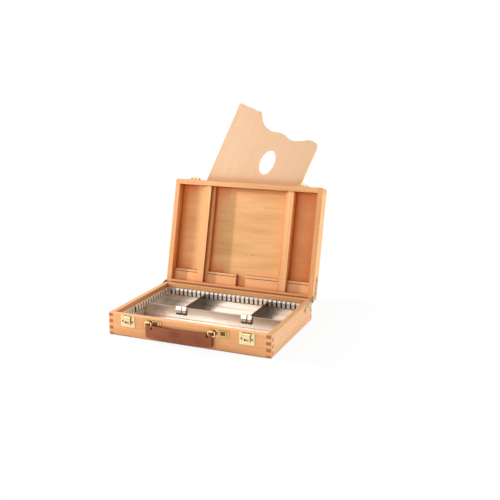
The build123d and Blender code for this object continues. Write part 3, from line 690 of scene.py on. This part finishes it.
def halfThickness(share):
    # the leather stands proud between its creases, share being the way down the strap
    nearest = min(abs(share - crease) for crease in strap["creases"])
    groove = max(0.0, 1 - nearest / strap["creaseReach"])
    crown = 1 - abs(2 * share - 1) ** 4
    padding = strap["padding"] * crown - strap["creaseDepth"] * groove * groove * (3 - 2 * groove)
    return strap["thickness"] / 2 - strap["padding"] + padding


def makeStrap():
    bm = bmesh.new()
    bmesh.ops.create_grid(bm, x_segments=strap["columns"], y_segments=strap["rows"], size=0.5)
    bmesh.ops.scale(bm, vec=(strapLength, strap["height"], 1), verts=bm.verts)
    bmesh.ops.rotate(bm, cent=(0, 0, 0), matrix=Matrix.Rotation(math.radians(90), 3, "X"), verts=bm.verts)
    bmesh.ops.translate(bm, vec=(strapMiddle, 0, strap["top"] - strap["height"] / 2), verts=bm.verts)
    cut = [f for f in bm.faces if inNotch(f.calc_center_median().x, strap["top"] - f.calc_center_median().z)]
    bmesh.ops.delete(bm, geom=cut, context="FACES")
    bmesh.ops.recalc_face_normals(bm, faces=bm.faces)
    outer = bmesh.ops.extrude_face_region(bm, geom=bm.faces[:])
    back = {v for v in outer["geom"] if isinstance(v, bmesh.types.BMVert)}
    for v in bm.verts:
        share = (strap["top"] - v.co.z) / strap["height"]
        v.co.y = strap["middleY"] + halfThickness(share) * (1 if v in back else -1)
    rim = [e for e in bm.edges if e.is_manifold and e.calc_face_angle(0) > strap["sharpEdge"]]
    bmesh.ops.bevel(
        bm, geom=rim, offset=strap["bevel"], segments=strap["bevelSteps"],
        affect="EDGES", profile=0.5, material=-1,
    )
    for v in bm.verts:
        v.co.z -= strapSag(v.co.x)
    piece = addPiece("leather_strap", bm, leatherMaterial(), "handle")
    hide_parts("handle_strap")


def makeStitches():
    bm = bmesh.new()
    first = strap["left"] + strap["ends"][0] + strap["notchWidth"] + stitching["fromNotch"]
    last = strap["right"] - strap["ends"][1] - strap["notchWidth"] - stitching["fromNotch"]
    count = int((last - first) / stitching["pitch"])
    size = (stitching["length"] / 2, stitching["radius"], stitching["radius"])
    for fromTop in (stitching["inset"], strap["height"] - stitching["inset"]):
        for side in (-1, 1):
            y = strap["middleY"] + side * halfThickness(fromTop / strap["height"])
            for step in range(count + 1):
                x = first + (last - first) * step / count
                made = bmesh.ops.create_uvsphere(
                    bm, u_segments=stitching["segments"], v_segments=stitching["rings"], radius=1.0,
                )["verts"]
                bmesh.ops.scale(bm, vec=size, verts=made)
                bmesh.ops.translate(bm, vec=(x, y, strap["top"] - fromTop - strapSag(x)), verts=made)
    piece = addPiece("strap_stitches", bm, threadMaterial(), "handle")


makeStrap()
makeStitches()
print("handle done")


# floor, light and camera

ground = {
    "halfSize": 6.0, "colour": (0.93, 0.93, 0.93, 1), "roughness": 0.9, "whiteness": (0.3, 1.2, 0.88, 1.0),
}
room = {"level": 0.6, "colour": (1.0, 0.965, 0.93), "leftShare": 1.5, "rightShare": 0.1}
lamps = {
    "keyLight": {"place": (-1.67, -0.25, 0.62), "target": (0, 0.1, 0.1), "size": (0.06, 0.2), "power": 33},
    "rightLight": {"place": (1.8, 0.45, 0.75), "target": (0, 0.05, 0.1), "size": (0.9, 0.9), "power": 34},
    "frontFill": {"place": (-0.9, -1.8, 1.2), "target": (0, 0.0, 0.1), "size": (1.4, 1.0), "power": 11},
}
viewer = {"location": (0.694, -1.4622, 0.5804), "turn": (76.008, 0.0, 22.46), "lens": 54.825, "sensor": 36.0}


def seenBy(tree, *kinds):
    # one for rays of the given kinds
    rays = tree.nodes.new("ShaderNodeLightPath")
    return largest(tree, *[rays.outputs[kind] for kind in kinds])


def makeFloor():
    bm = bmesh.new()
    bmesh.ops.create_grid(bm, x_segments=1, y_segments=1, size=ground["halfSize"])
    mesh = bpy.data.meshes.new("floor")
    bm.to_mesh(mesh)
    bm.free()
    floor = bpy.data.objects.new("floor", mesh)
    bpy.context.scene.collection.objects.link(floor)
    material, tree, shader = newMaterial("paleFloor")
    shader.inputs["Base Color"].default_value = ground["colour"]
    shader.inputs["Roughness"].default_value = ground["roughness"]
    shader.inputs["Specular IOR Level"].default_value = 0.0
    glow = addNode(tree, "ShaderNodeEmission", Color=(1, 1, 1, 1), Strength=1.0)
    fromMiddle = addNode(tree, "ShaderNodeVectorMath", operation="LENGTH")
    tree.links.new(coordinates(tree), fromMiddle.inputs[0])
    white = remap(tree, fromMiddle.outputs["Value"], *ground["whiteness"])
    mixer = tree.nodes.new("ShaderNodeMixShader")
    seen = seenBy(tree, "Is Camera Ray", "Is Glossy Ray")
    tree.links.new(product(tree, seen, white), mixer.inputs["Fac"])
    tree.links.new(shader.outputs["BSDF"], mixer.inputs[1])
    tree.links.new(glow.outputs["Emission"], mixer.inputs[2])
    output = [n for n in tree.nodes if n.type == "OUTPUT_MATERIAL"][0]
    tree.links.new(mixer.outputs["Shader"], output.inputs["Surface"])
    mesh.materials.append(material)


def makeWorld():
    world = bpy.data.worlds.new("studio")
    bpy.context.scene.world = world
    world.use_nodes = True
    tree = world.node_tree
    background = tree.nodes["Background"]
    seen = seenBy(tree, "Is Camera Ray", "Is Glossy Ray", "Is Transmission Ray")
    tree.links.new(mixColour(tree, seen, room["colour"], (1.0, 1.0, 1.0)), background.inputs["Color"])
    # the room is darker on the right
    sideways = axes(tree, coordinates(tree, "Generated"))[0]
    levels = [room["level"] * share for share in (room["leftShare"], room["rightShare"])]
    strength = addNode(tree, "ShaderNodeMix")
    tree.links.new(seen, strength.inputs[0])
    tree.links.new(remap(tree, sideways, -1.0, 1.0, *levels), strength.inputs[2])
    strength.inputs[3].default_value = 1.0
    tree.links.new(strength.outputs[0], background.inputs["Strength"])


def addLamp(name, place, target, size, power):
    lamp = bpy.data.lights.new(name, "AREA")
    lamp.shape = "RECTANGLE"
    lamp.size, lamp.size_y = size
    lamp.energy = power
    box = bpy.data.objects.new(name, lamp)
    box.location = place
    box.rotation_euler = (Vector(target) - Vector(place)).to_track_quat("-Z", "Y").to_euler()
    bpy.context.scene.collection.objects.link(box)


def addCamera():
    lens = bpy.data.cameras.new("camera")
    lens.lens = viewer["lens"]
    lens.sensor_width = viewer["sensor"]
    camera = bpy.data.objects.new("camera", lens)
    camera.location = viewer["location"]
    camera.rotation_euler = Euler([math.radians(a) for a in viewer["turn"]])
    bpy.context.scene.collection.objects.link(camera)
    bpy.context.scene.camera = camera
    bpy.context.scene.view_settings.view_transform = "Standard"


makeFloor()
makeWorld()
for name, lamp in lamps.items():
    addLamp(name, **lamp)
addCamera()
print("studio done")
